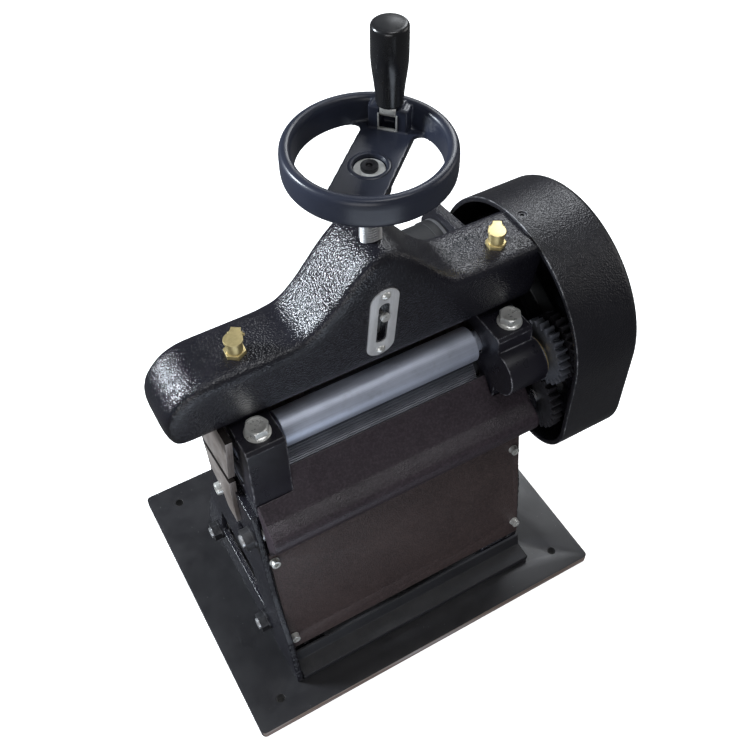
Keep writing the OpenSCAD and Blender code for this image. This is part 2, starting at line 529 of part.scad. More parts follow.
module wheel_screw() color([0.15, 0.15, 0.16]) difference() {
  union() { rod(0, beam_y, spoke_top - 2.4, spoke_top + 0.9, 6.5); rod(0, beam_y, 530, spoke_top - 2.39, 3.95); }
  hexrod(0, beam_y, spoke_top - 1.4, spoke_top + 6, 5);
}
module in_wheel() translate([0, beam_y, 0]) rotate([0, 0, spoke_a]) translate([handle_r, 0, 0]) children();
module handle_clevis() color([0.13, 0.13, 0.14]) in_wheel() difference() {
  union() {
    translate([0, 6.1, hinge_z]) rotate([90, 0, 0]) cylinder(h = 12.2, r = 5.3);
    translate([-5.2, -6.1, hinge_z]) cube([10.4, 12.2, 4.1]);
    translate([0, 0, spoke_top + 19]) cylinder(h = 1.6, r = 6.05);
    translate([0, 0, spoke_top + 20.5]) cylinder(h = grip_l - 10, r = 5);
  }
  translate([0, 0, hinge_z]) rotate([90, 0, 0]) cylinder(h = 60, r = 2.5 + clear, center = true);
}
module handle_pin() color(steel) in_wheel() translate([0, 0, hinge_z]) rotate([90, 0, 0]) cylinder(h = 24, r = 2.5, center = true);
module handle_grip() color([0.04, 0.04, 0.045]) in_wheel() translate([0, 0, spoke_top + 20.9]) rotate_extrude() polygon(concat(
  [[5 + clear, 0], [9.6, 0], [10.4, 0.8]],
  [for (k = [0:12]) let(t = k / 12) [10.4 + (grip_r - 10.4) * (3 * t * t - 2 * t * t * t), 2 + t * 38]],
  [[grip_r, grip_l - 5], [grip_r - 0.6, grip_l - 2.4], [grip_r - 2.4, grip_l - 0.7], [grip_r - 5, grip_l], [0, grip_l + 0.3], [0, grip_l - 9], [5 + clear, grip_l - 9]]));
// ---------- rollers and gear train ----------
module upper_roller() color(steel) {
  rodx(-roller_hl, roller_hl, roller_y, upper_z, roller_r);
  for (s = [-1, 1]) rodx(s > 0 ? roller_hl - 0.01 : -139, s > 0 ? 139 : -roller_hl + 0.01, roller_y, upper_z, 10);
}
module lower_roller() color(steel) {
  slabx(-roller_hl, roller_hl) translate([roller_y, lower_z]) polygon([for (i = [0:flutes - 1]) let(a = i * 360 / flutes, p = 360 / flutes)
    each [[roller_r * cos(a - 0.3 * p), roller_r * sin(a - 0.3 * p)], [roller_r * cos(a + 0.1 * p), roller_r * sin(a + 0.1 * p)],
      [(roller_r - 1.1) * cos(a + 0.3 * p), (roller_r - 1.1) * sin(a + 0.3 * p)], [(roller_r - 1.1) * cos(a + 0.5 * p), (roller_r - 1.1) * sin(a + 0.5 * p)]]]);
  rodx(-139, -roller_hl + 0.01, roller_y, lower_z, 10);
  rodx(roller_hl - 0.01, 182, roller_y, lower_z, 10);
}
module lower_gear() color(steel) spur(167, 177, roller_y, lower_z, z_low, feed_b + 180 / z_low, 10);
module feed_shaft() color(steel) { rodx(111, 180, feed_y, feed_z, 8); }
module feed_gear() color(steel) spur(152, 162, feed_y, feed_z, z_feed, -90, 8);
module feed_gear_outer() color(steel) spur(167, 177, feed_y, feed_z, z_feed, feed_b + 180, 8);
module drive_shaft() color(steel) { rodx(133, 203, drive_y, drive_z, 7); }
module drive_gear() color(steel) spur(152, 162, drive_y, drive_z, z_drive, 90 + 180 / z_drive, 7);
module drive_pulley() color(cast) pulley(drive_y, drive_z, pul_big, 7);
module motor_rotor() color(steel) { rodx(62, 203, motor_y, motor_z, 7); pulley(motor_y, motor_z, pul_small, 6.9); }

base_plate();
side_frame_left();
side_frame_right();
foot_bolts();
foot_rail();
tie_rods();
tie_nuts();
front_panel();
panel_screws();
feed_table();
bearing_block_left();
bearing_block_right();
block_bolts();
roller_bushes();
feed_bush();
drive_bush();
blade_bed();
blade();
blade_clamp();
clamp_screws();
bridge();
bridge_studs();
screw_nut();
indicator_plate();
indicator_screws();
oil_cup_left();
oil_cup_right();
gear_cover();
cover_posts();
cover_screws();
cover_plug();
motor_bracket();
bracket_bolts();
motor();
motor_bolts();
terminal_box();
cable_gland();
drive_belt();
gauge_slide();
gauge_foot();
pointer();
lift_screw();
handwheel();
wheel_washer();
wheel_screw();
handle_clevis();
handle_pin();
handle_grip();
oil_lid_left();
oil_lid_right();
upper_roller();
lower_roller();
lower_gear();
feed_shaft();
feed_gear();
feed_gear_outer();
drive_shaft();
drive_gear();
drive_pulley();
motor_rotor();
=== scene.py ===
import json
import math

import bmesh
import bpy
from mathutils import Matrix, Vector


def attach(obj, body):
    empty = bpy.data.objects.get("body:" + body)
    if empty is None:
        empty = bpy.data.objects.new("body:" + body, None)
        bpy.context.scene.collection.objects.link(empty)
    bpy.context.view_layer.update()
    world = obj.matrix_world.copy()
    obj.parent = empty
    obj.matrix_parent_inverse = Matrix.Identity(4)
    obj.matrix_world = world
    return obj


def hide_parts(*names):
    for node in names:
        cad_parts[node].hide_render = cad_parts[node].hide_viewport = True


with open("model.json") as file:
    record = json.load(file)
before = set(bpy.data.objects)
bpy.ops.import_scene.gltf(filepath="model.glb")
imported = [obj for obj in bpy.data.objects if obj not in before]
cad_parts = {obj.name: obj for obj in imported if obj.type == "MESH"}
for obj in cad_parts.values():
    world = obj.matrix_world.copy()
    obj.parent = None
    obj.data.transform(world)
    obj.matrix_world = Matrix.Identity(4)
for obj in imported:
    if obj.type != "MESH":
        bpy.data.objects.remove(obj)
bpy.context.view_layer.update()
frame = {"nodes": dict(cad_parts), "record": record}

NODES = frame["nodes"]
BODY = {n: b for b, ns in frame["record"]["behaviour"]["bodies"].items() for n in ns}
MM = 0.001
rad = math.radians


# ------------------------------------------------------------------ materials
class Mat:
    """A small builder for one procedural material."""

    def __init__(self, name):
        self.m = bpy.data.materials.new(name)
        self.m.use_nodes = True
        self.t = self.m.node_tree
        self.p = self.t.nodes["Principled BSDF"]
        self.co = self.n("ShaderNodeTexCoord").outputs["Object"]

    def n(self, kind, **kw):
        node = self.t.nodes.new(kind)
        for k, v in kw.items():
            setattr(node, k, v)
        return node

    def link(self, a, b):
        self.t.links.new(a, b)

    def set(self, **kw):
        for k, v in kw.items():
            self.p.inputs[k.replace("_", " ")].default_value = v
        return self

    def stretch(self, sx, sy, sz):
        """Object coordinates scaled per axis, in metres."""
        mp = self.n("ShaderNodeMapping")
        mp.inputs["Scale"].default_value = (sx, sy, sz)
        self.link(self.co, mp.inputs["Vector"])
        return mp.outputs["Vector"]

    def noise(self, scale, detail=3.0, rough=0.55, vec=None, distortion=0.0):
        node = self.n("ShaderNodeTexNoise")
        node.inputs["Scale"].default_value = scale
        node.inputs["Detail"].default_value = detail
        node.inputs["Roughness"].default_value = rough
        node.inputs["Distortion"].default_value = distortion
        self.link(vec if vec is not None else self.co, node.inputs["Vector"])
        return node.outputs["Fac"]

    def voronoi(self, scale, feature="SMOOTH_F1", vec=None):
        node = self.n("ShaderNodeTexVoronoi", feature=feature)
        node.inputs["Scale"].default_value = scale
        if feature == "SMOOTH_F1":
            node.inputs["Smoothness"].default_value = 0.7
        self.link(vec if vec is not None else self.co, node.inputs["Vector"])
        return node.outputs["Distance"]

    def ramp(self, fac, stops):
        node = self.n("ShaderNodeValToRGB")
        el = node.color_ramp.elements
        while len(el) < len(stops):
            el.new(0.5)
        for e, (pos, col) in zip(el, stops):
            e.position = pos
            e.color = (*col, 1.0) if not isinstance(col, float) else (col, col, col, 1.0)
        self.link(fac, node.inputs["Fac"])
        return node.outputs["Color"]

    def math(self, op, a, b=None, clamp=False):
        node = self.n("ShaderNodeMath", operation=op, use_clamp=clamp)
        for i, v in enumerate((a, b)):
            if v is None:
                continue
            if isinstance(v, (int, float)):
                node.inputs[i].default_value = v
            else:
                self.link(v, node.inputs[i])
        return node.outputs[0]

    def range(self, v, a, b, c, d):
        node = self.n("ShaderNodeMapRange")
        for i, x in zip(("From Min", "From Max", "To Min", "To Max"), (a, b, c, d)):
            node.inputs[i].default_value = x
        self.link(v, node.inputs["Value"])
        return node.outputs["Result"]

    def mix(self, fac, a, b):
        node = self.n("ShaderNodeMix", data_type="RGBA")
        self.link(fac, node.inputs["Factor"])
        for i, v in ((6, a), (7, b)):
            if isinstance(v, tuple):
                node.inputs[i].default_value = (*v, 1.0)
            else:
                self.link(v, node.inputs[i])
        return node.outputs[2]

    def edges(self, radius, lo=0.03, hi=0.35):
        """A mask that is bright on worn edges, and so also paints a highlight along them: where the rounded normal
        leaves the true one.
        """
        bev = self.n("ShaderNodeBevel", samples=6)
        bev.inputs["Radius"].default_value = radius
        geo = self.n("ShaderNodeNewGeometry")
        dot = self.n("ShaderNodeVectorMath", operation="DOT_PRODUCT")
        self.link(bev.outputs["Normal"], dot.inputs[0])
        self.link(geo.outputs["Normal"], dot.inputs[1])
        inv = self.math("SUBTRACT", 1.0, dot.outputs["Value"])
        return self.range(inv, lo, hi, 0.0, 1.0)

    def bump(self, *layers):
        """layers: (height socket, strength, distance in metres)"""
        prev = None
        for h, strength, dist in layers:
            b = self.n("ShaderNodeBump")
            b.inputs["Strength"].default_value = strength
            b.inputs["Distance"].default_value = dist
            self.link(h, b.inputs["Height"])
            if prev is not None:
                self.link(prev, b.inputs["Normal"])
            prev = b.outputs["Normal"]
        self.link(prev, self.p.inputs["Normal"])
        return self

    def color(self, c):
        self.link(c, self.p.inputs["Base Color"])
        return self

    def rough(self, r):
        self.link(r, self.p.inputs["Roughness"])
        return self


def paint(name, dark, light, pebble, strength, r0, r1, edge_wear_and_highlight=0.5, edge_wear_and_highlight_col=(0.11, 0.11, 0.115), fine=2600.0, dist=0.0005, edge_wear_and_highlight_band=(0.0011, 0.03, 0.35), grain=0.0):
    """Black paint on a casting: pebbled skin, patchy tone, thin bright worn edges with a painted edge highlight, dust.
    """
    m = Mat(name)
    patch = m.noise(14.0, 4.0, 0.6)
    col = m.ramp(patch, [(0.30, dark), (0.72, light)])
    if grain > 0:
        g = m.range(m.noise(430.0, 3.0, 0.65), 0.42, 0.68, 0.0, grain)
        col = m.mix(g, col, tuple(2.4 * c for c in light))
    spec = m.voronoi(230.0, "F1")
    dust = m.math("MULTIPLY", m.math("LESS_THAN", spec, 0.055), m.math("GREATER_THAN", m.noise(35.0, 2.0), 0.57))
    dust = m.math("MULTIPLY", dust, 0.35)
    col = m.mix(dust, col, (0.16, 0.16, 0.165))
    # edge colour: worn paint plus a painted highlight along the rounded edges
    if edge_wear_and_highlight > 0:
        e = m.math("MULTIPLY", m.edges(*edge_wear_and_highlight_band), m.range(m.noise(130.0, 5.0, 0.65), 0.42, 0.62, 0.0, edge_wear_and_highlight))
        col = m.mix(e, col, edge_wear_and_highlight_col)
    m.color(col)
    m.rough(m.range(m.noise(60.0, 4.0, 0.6), 0.3, 0.7, r0, r1))
    m.bump((m.voronoi(pebble), strength, dist), (m.noise(fine, 2.0), strength * 0.45, dist * 0.35))
    m.set(Specular_IOR_Level=0.42)
    return m


def metal(name, c0, c1, r0, r1, lines=(20.0, 2600.0, 2600.0), strength=0.12, spots=0.0, wearcol=None, aniso=0.0, metallic=0.8):
    """Bare metal: fine tool marks along one direction, uneven tone, a few stains."""
    m = Mat(name)
    m.set(Metallic=metallic)
    marks = m.noise(1.0, 4.0, 0.6, m.stretch(*lines))
    tone = m.noise(24.0, 4.0, 0.6)
    col = m.ramp(m.math("ADD", m.math("MULTIPLY", marks, 0.45), m.math("MULTIPLY", tone, 0.55)), [(0.34, c0), (0.66, c1)])
    if spots > 0:
        st = m.range(m.noise(70.0, 6.0, 0.7), 0.56, 0.72, 0.0, spots)
        col = m.mix(st, col, wearcol)
    m.color(col)
    m.rough(m.range(marks, 0.3, 0.7, r0, r1))
    if aniso:
        m.set(Anisotropic=aniso)
    m.bump((marks, strength, 0.0001))
    return m


M = {}
# castings: semi-gloss black with an orange-peel skin
M["cast"] = paint("cast_black", (0.0072, 0.0070, 0.0098), (0.0150, 0.0146, 0.0200), 740.0, 0.80, 0.14, 0.22, dist=0.0006)
M["panel"] = paint("panel_black", (0.0275, 0.0178, 0.0172), (0.047, 0.0318, 0.0298), 700.0, 0.85, 0.46, 0.58, 0.6, (0.24, 0.23, 0.23), grain=0.40)
# cover: the bright edge colour is a painted highlight along the rim lip, with worn paint
M["cover"] = paint("cover_black", (0.0062, 0.0061, 0.0084), (0.0118, 0.0116, 0.0155), 720.0, 0.78, 0.27, 0.38, 1.0, (0.62, 0.62, 0.64), edge_wear_and_highlight_band=(0.0018, 0.02, 0.16))
# bearing blocks: the pale edge colour is worn paint with a painted edge highlight
M["block"] = paint("block_black", (0.0085, 0.0080, 0.0115), (0.017, 0.0160, 0.0225), 900.0, 0.24, 0.25, 0.38, 1.0, (0.42, 0.42, 0.45), edge_wear_and_highlight_band=(0.0022, 0.012, 0.12))
M["table"] = paint("table_black", (0.0195, 0.0142, 0.0178), (0.0340, 0.0252, 0.0310), 820.0, 0.56, 0.36, 0.48, 0.6, (0.2, 0.19, 0.2), grain=0.42)
M["rail"] = paint("rail_black", (0.0070, 0.0068, 0.0084), (0.0140, 0.0136, 0.0160), 520.0, 0.16, 0.52, 0.66, 0.5, (0.12, 0.115, 0.11))
M["wheel"] = paint("wheel_satin", (0.0145, 0.0168, 0.0270), (0.0240, 0.0280, 0.0440), 1500.0, 0.07, 0.28, 0.37, 0.35, (0.08, 0.085, 0.1), 4200.0, 0.0002)

m = Mat("base_black")
patch = m.noise(7.0, 5.0, 0.62)
col = m.ramp(patch, [(0.3, (0.0075, 0.0073, 0.0088)), (0.72, (0.0165, 0.016, 0.018))])
specks = m.math("LESS_THAN", m.voronoi(150.0, "F1"), 0.05)
specks = m.math("MULTIPLY", specks, m.math("GREATER_THAN", m.noise(26.0, 2.0), 0.53))
col = m.mix(m.math("MULTIPLY", specks, 0.5), col, (0.25, 0.25, 0.25))
geo = m.n("ShaderNodeNewGeometry")
sep = m.n("ShaderNodeSeparateXYZ")
m.link(geo.outputs["True Normal"], sep.inputs["Vector"])
pos = m.n("ShaderNodeSeparateXYZ")
m.link(m.co, pos.inputs["Vector"])
# the plate's forward-facing edge: a bare cut-edge colour that also carries a painted warm reflection
bare_edge_reflection_mask = m.math("MULTIPLY", m.range(sep.outputs["Y"], -0.4, -0.8, 0.0, 1.0), m.math("LESS_THAN", pos.outputs["Y"], -0.1575))
cut = m.ramp(m.noise(1.0, 4.0, 0.6, m.stretch(9.0, 40.0, 260.0)), [(0.34, (0.10, 0.066, 0.05)), (0.5, (0.25, 0.185, 0.15)), (0.64, (0.40, 0.385, 0.39))])
col = m.mix(bare_edge_reflection_mask, col, cut)
e = m.math("MULTIPLY", m.edges(0.0009), m.range(m.noise(90.0, 5.0, 0.65), 0.4, 0.62, 0.0, 0.7))
m.color(m.mix(e, col, (0.2, 0.17, 0.15)))
m.rough(m.range(m.noise(40.0, 5.0, 0.65), 0.3, 0.7, 0.30, 0.44))
m.bump((m.noise(900.0, 3.0), 0.10, 0.0003), (m.voronoi(420.0), 0.06, 0.0003))
M["base"] = m

m = Mat("grip_gloss")
m.color(m.ramp(m.noise(30.0, 3.0), [(0.3, (0.0065, 0.0066, 0.0075)), (0.7, (0.0115, 0.0118, 0.0135))]))
pos = m.n("ShaderNodeSeparateXYZ")
m.link(m.co, pos.inputs["Vector"])
worn = m.range(pos.outputs["Z"], 0.6315, 0.6335, 0.0, 0.22)
m.rough(m.math("ADD", m.range(m.noise(110.0, 4.0, 0.6), 0.3, 0.7, 0.20, 0.31), worn))
m.bump((m.noise(700.0, 3.0), 0.035, 0.0003))
M["grip"] = m

M["steel"] = metal("steel_bare", (0.40, 0.40, 0.405), (0.60, 0.60, 0.60), 0.28, 0.44, spots=0.35, wearcol=(0.26, 0.24, 0.22))
M["roller"] = metal("steel_roller", (0.40, 0.432, 0.515), (0.55, 0.59, 0.695), 0.42, 0.54, (3.0, 900.0, 900.0), 0.12, 0.3, (0.25, 0.26, 0.285), 0.2, 0.62)
# lower roller: a darker copy of the roller steel, painted shade for the fluted roller in the nip
M["roller_painted_shade"] = metal("steel_flutes_painted_shade", (0.115, 0.119, 0.136), (0.235, 0.242, 0.275), 0.34, 0.48, (3.0, 700.0, 700.0), 0.12, 0.4, (0.07, 0.07, 0.078), 0.0, 0.75)
# gears under the cover: a darker copy of the gear steel, painted shade
M["gear_painted_shade"] = metal("steel_gear_painted_shade", (0.030, 0.029, 0.033), (0.072, 0.070, 0.078), 0.34, 0.50, (60.0, 500.0, 500.0), 0.16, 0.45, (0.020, 0.017, 0.014), 0.0, 0.55)
M["gear"] = metal("steel_gear", (0.115, 0.122, 0.142), (0.21, 0.222, 0.255), 0.36, 0.50, (60.0, 500.0, 500.0), 0.16, 0.45, (0.16, 0.155, 0.15), 0.0, 0.55)
# washer: a lighter, less metallic copy of the zinc, painted brightness standing in for its reflection
M["washer"] = metal("zinc_washer_painted_sheen", (0.58, 0.59, 0.57), (0.78, 0.79, 0.77), 0.34, 0.48, (500.0, 500.0, 500.0), 0.10, 0.3, (0.42, 0.42, 0.40), 0.0, 0.3)
m = metal("steel_ear", (0.20, 0.165, 0.145), (0.44, 0.40, 0.375), 0.34, 0.52, (900.0, 60.0, 60.0), 0.25, 0.75, (0.16, 0.11, 0.085), 0.0, 0.6)
bare = m.p.inputs["Base Color"].links[0].from_socket
geo = m.n("ShaderNodeNewGeometry")
sep = m.n("ShaderNodeSeparateXYZ")
m.link(geo.outputs["True Normal"], sep.inputs["Vector"])
# painted shade: faces that look upward, such as the bed ear's top seen through the seam, turn near-black like a shaded
# gap
gap_painted_shade = m.ramp(m.noise(120.0, 4.0), [(0.3, (0.008, 0.006, 0.0055)), (0.7, (0.022, 0.017, 0.0155))])
shade = m.math("MULTIPLY", m.range(sep.outputs["Z"], 0.72, 0.92, 0.0, 1.0), 1.0)
# bright edges: burnished bare steel with a painted edge highlight
bright = m.math("MULTIPLY", m.edges(0.0012), m.range(m.noise(60.0, 4.0), 0.36, 0.6, 0.2, 0.9))
m.color(m.mix(shade, m.mix(bright, bare, (0.78, 0.77, 0.76)), gap_painted_shade))
M["ear"] = m
M["blade_steel"] = metal("steel_blade", (0.55, 0.55, 0.55), (0.72, 0.72, 0.72), 0.18, 0.30, (1500.0, 30.0, 30.0), 0.08)
M["screw"] = metal("steel_screw", (0.20, 0.20, 0.205), (0.40, 0.40, 0.40), 0.30, 0.48, (400.0, 400.0, 40.0), 0.12, 0.5, (0.10, 0.10, 0.10))
M["zinc"] = metal("zinc_plate", (0.54, 0.54, 0.51), (0.78, 0.78, 0.75), 0.24, 0.40, (160.0, 160.0, 160.0), 0.10, 0.4, (0.38, 0.37, 0.33), 0.0, 0.6)
M["plate"] = metal("plate_aluminium", (0.60, 0.605, 0.615), (0.78, 0.785, 0.79), 0.36, 0.50, (1400.0, 90.0, 90.0), 0.20, 0.3, (0.46, 0.46, 0.47), 0.0, 0.35)
M["brass"] = metal("brass_turned", (0.50, 0.37, 0.16), (0.74, 0.575, 0.27), 0.24, 0.40, (300.0, 300.0, 900.0), 0.10, 0.45, (0.36, 0.24, 0.08))
M["brass_dull"] = metal("brass_cast", (0.40, 0.32, 0.145), (0.60, 0.495, 0.245), 0.30, 0.46, (420.0, 420.0, 420.0), 0.16, 0.55, (0.27, 0.19, 0.075), 0.0, 0.7)
M["black_oxide"] = metal("black_oxide", (0.035, 0.035, 0.038), (0.085, 0.085, 0.09), 0.34, 0.50, (200.0, 200.0, 200.0), 0.12, 0.3, (0.16, 0.15, 0.145))

m = Mat("motor_grey")
col = m.ramp(m.noise(20.0, 4.0), [(0.3, (0.0085, 0.0086, 0.0096)), (0.7, (0.0155, 0.0158, 0.0172))])
e = m.math("MULTIPLY", m.edges(0.001), m.range(m.noise(120.0, 5.0), 0.4, 0.62, 0.0, 0.6))
col = m.mix(e, col, (0.22, 0.22, 0.22))
sep = m.n("ShaderNodeSeparateXYZ")
m.link(m.co, sep.inputs["Vector"])
ring = m.math("MULTIPLY", m.range(sep.outputs["X"], 0.1250, 0.1253, 0.0, 1.0), m.range(sep.outputs["X"], 0.1282, 0.1285, 1.0, 0.0))
alu = m.ramp(m.noise(1.0, 4.0, 0.6, m.stretch(2200.0, 30.0, 30.0)), [(0.3, (0.28, 0.28, 0.29)), (0.7, (0.46, 0.46, 0.47))])
m.color(m.mix(ring, col, alu))
m.link(ring, m.p.inputs["Metallic"])
m.rough(m.range(m.noise(70.0, 4.0), 0.3, 0.7, 0.46, 0.60))
m.bump((m.noise(900.0, 3.0), 0.12, 0.0003))
M["motor_grey"] = m

m = Mat("moulded_black")
m.color(m.ramp(m.noise(25.0, 4.0), [(0.3, (0.014, 0.014, 0.014)), (0.7, (0.026, 0.026, 0.027))]))
m.rough(m.range(m.noise(80.0, 4.0), 0.3, 0.7, 0.45, 0.6))
m.bump((m.voronoi(1100.0), 0.15, 0.0002))
M["box_black"] = m

m = Mat("belt_rubber")
m.color(m.ramp(m.noise(60.0, 4.0), [(0.3, (0.011, 0.011, 0.011)), (0.7, (0.028, 0.027, 0.026))]))
m.rough(m.range(m.noise(90.0, 4.0), 0.3, 0.7, 0.6, 0.8))
m.bump((m.noise(1.0, 3.0, 0.6, m.stretch(1400.0, 300.0, 300.0)), 0.3, 0.0003))
M["belt"] = m

m = Mat("slot_dark")
m.color(m.ramp(m.noise(90.0, 3.0), [(0.3, (0.003, 0.003, 0.0032)), (0.7, (0.006, 0.006, 0.0062))]))
m.rough(m.range(m.noise(200.0, 3.0), 0.3, 0.7, 0.5, 0.7))
m.bump((m.noise(900.0, 2.0), 0.1, 0.0003))
M["dark"] = m


def use(obj, mat):
    obj.data.materials.clear()
    obj.data.materials.append(M[mat].m)


# ------------------------------------------------------------------ mesh helpers
def make(name, bm, body, nodes=(), mat="cast", sharp=32.0):
    """A finished piece from a bmesh in metres, in the part's own frame."""
    bmesh.ops.remove_doubles(bm, verts=bm.verts, dist=1e-7)
    bmesh.ops.recalc_face_normals(bm, faces=bm.faces)
    me = bpy.data.meshes.new(name)
    bm.to_mesh(me)
    bm.free()
    for p in me.polygons:
        p.use_smooth = True
    if sharp is not None:
        me.set_sharp_from_angle(angle=rad(sharp))
    ob = bpy.data.objects.new(name, me)
    bpy.context.scene.collection.objects.link(ob)
    use(ob, mat)
    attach(ob, body)
    if nodes:
        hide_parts(*nodes)
    return ob


def prism(bm, outline, x0, x1, to3d):
    """Closed outline extruded from x0 to x1; to3d(u, v, x) gives the point in mm."""
    a = [bm.verts.new(Vector(to3d(u, v, x0)) * MM) for u, v in outline]
    b = [bm.verts.new(Vector(to3d(u, v, x1)) * MM) for u, v in outline]
    n = len(outline)
    for i in range(n):
        bm.faces.new((a[i], a[(i + 1) % n], b[(i + 1) % n], b[i]))
    bm.faces.new(list(reversed(a)))
    bm.faces.new(b)
    return a, b


def lathe(bm, profile, n, to3d):
    """Profile of (r, h) turned about an axis; to3d(x, y, h) gives the point in mm."""
    rows = []
    for r, h in profile:
        if r < 1e-6:
            rows.append([bm.verts.new(Vector(to3d(0, 0, h)) * MM)])
        else:
            rows.append([bm.verts.new(Vector(to3d(r * math.cos(2 * math.pi * k / n), r * math.sin(2 * math.pi * k / n), h)) * MM) for k in range(n)])
    for a, b in zip(rows, rows[1:]):
        for k in range(n):
            k2 = (k + 1) % n
            if len(a) == 1 and len(b) == 1:
                continue
            if len(a) == 1:
                bm.faces.new((a[0], b[k2], b[k]))
            elif len(b) == 1:
                bm.faces.new((a[k], a[k2], b[0]))
            else:
                bm.faces.new((a[k], a[k2], b[k2], b[k]))


def arc(cx, cy, r, a0, a1, n):
    return [(cx + r * math.cos(rad(a0 + (a1 - a0) * i / n)), cy + r * math.sin(rad(a0 + (a1 - a0) * i / n))) for i in range(n + 1)]


def cad(node, weld=2e-6, flat=0.4):
    """The CAD node's own mesh, joined up, with its flat faces whole."""
    bm = bmesh.new()
    bm.from_mesh(NODES[node].data)
    bmesh.ops.remove_doubles(bm, verts=bm.verts, dist=weld)
    bmesh.ops.dissolve_limit(bm, angle_limit=rad(flat), verts=bm.verts, edges=bm.edges)
    return bm


def round_edges(bm, width, segs=2, limit=30.0):
    bm.normal_update()
    es = [e for e in bm.edges if len(e.link_faces) == 2 and e.calc_face_angle(0.0) > rad(limit)]
    if es:
        bmesh.ops.bevel(bm, geom=es, offset=width * MM, offset_type="OFFSET", segments=segs, profile=0.6, affect="EDGES", clamp_overlap=True)


def refine(node, width, mat, segs=2, limit=30.0, sharp=32.0, name=None):
    """The CAD node with broken edges, as a piece of its own."""
    bm = cad(node)
    round_edges(bm, width, segs, limit)
    return make(name or "v_" + node, bm, BODY[node], (node,), mat, sharp=sharp)


def melt(ob, voxel, loops, factor=0.5):
    """A casting's look: every edge and inner corner flows over."""
    r = ob.modifiers.new("skin", "REMESH")
    r.mode = "VOXEL"
    r.voxel_size = voxel * MM
    r.use_smooth_shade = True
    s = ob.modifiers.new("flow", "SMOOTH")
    s.factor = factor
    s.iterations = loops
    return ob


def bore(ob, cutter, mat, sharp):
    """Bakes the piece's modifiers, then takes the cutter away from it."""
    bmesh.ops.recalc_face_normals(cutter, faces=cutter.faces)
    bpy.context.view_layer.update()
    me = bpy.data.meshes.new_from_object(ob.evaluated_get(bpy.context.evaluated_depsgraph_get()))
    ob.modifiers.clear()
    ob.data = me
    cm = bpy.data.meshes.new("cutter")
    cutter.to_mesh(cm)
    cutter.free()
    co = bpy.data.objects.new("cutter", cm)
    bpy.context.scene.collection.objects.link(co)
    bo = ob.modifiers.new("bore", "BOOLEAN")
    bo.operation = "DIFFERENCE"
    bo.solver = "EXACT"
    bo.object = co
    bpy.context.view_layer.update()
    me = bpy.data.meshes.new_from_object(ob.evaluated_get(bpy.context.evaluated_depsgraph_get()))
    ob.modifiers.clear()
    ob.data = me
    bpy.data.objects.remove(co)
    use(ob, mat)
    for p in me.polygons:
        p.use_smooth = True
        p.material_index = 0
    me.set_sharp_from_angle(angle=rad(sharp))


# ------------------------------------------------------------------ bridge
def bridge():
    L, R, TOP, BOT = -199.0, 161.5, 418.0, 347.8

    def hump(x):
        return 0.0 if abs(x) >= 82 else 33.0 * (1 + math.cos(math.pi * abs(x) / 82))
    top = [(L + 6 + 44 * (1 + math.cos(rad(a))), TOP - 44 + 44 * math.sin(rad(a))) for a in range(180, 92, -6)]
    top += [(x, TOP + hump(x)) for x in range(-84, 85, 3)]
    top += [(R, TOP), (R, BOT), (L + 15, BOT), (L + 10, BOT + 7)]
    prof = [(-44.8, 346), (-47.0, 351), (-59.6, 448), (-61.4, 490), (6.4, 490), (5.6, 351), (4.0, 346)]
    a = bmesh.new()
    prism(a, top, -68, 10, lambda u, v, x: (u, x, v))
    b = bmesh.new()
    prism(b, prof, -200, 200, lambda u, v, x: (x, u, v))
    obs = []
    for nm, q in (("bridge_long", a), ("bridge_cross", b)):
        bmesh.ops.recalc_face_normals(q, faces=q.faces)
        me = bpy.data.meshes.new(nm)
        q.to_mesh(me)
        q.free()
        o = bpy.data.objects.new(nm, me)
        bpy.context.scene.collection.objects.link(o)
        obs.append(o)
    bo = obs[0].modifiers.new("cut", "BOOLEAN")
    bo.operation = "INTERSECT"
    bo.solver = "EXACT"
    bo.object = obs[1]
    bpy.context.view_layer.update()
    me = bpy.data.meshes.new_from_object(obs[0].evaluated_get(bpy.context.evaluated_depsgraph_get()))
    bm = bmesh.new()
    bm.from_mesh(me)
    for o in obs:
        bpy.data.objects.remove(o)
    ob = make("bridge_casting", bm, "frame", ("bridge",), "cast", sharp=None)
    melt(ob, 2.2, 100)
    # slot the pointer travels in, behind the indicator plate
    cut = bmesh.new()
    slot = arc(-2.2, 427.0, 3.6, 0, 180, 10) + arc(-2.2, 386.0, 3.6, 180, 360, 10)
    prism(cut, slot, -75.0, -38.0, lambda u, v, x: (u, x, v))
    bore(ob, cut, "cast", 42.0)
    # guide pocket of the gauge slide, open at the bottom
    cut = bmesh.new()
    prism(cut, [(-18.0, -43.3), (18.0, -43.3), (18.0, -19.0), (-18.0, -19.0)], 335.0, 456.0, lambda u, v, x: (u, v, x))
    bore(ob, cut, "cast", 42.0)
    return ob


bridge()


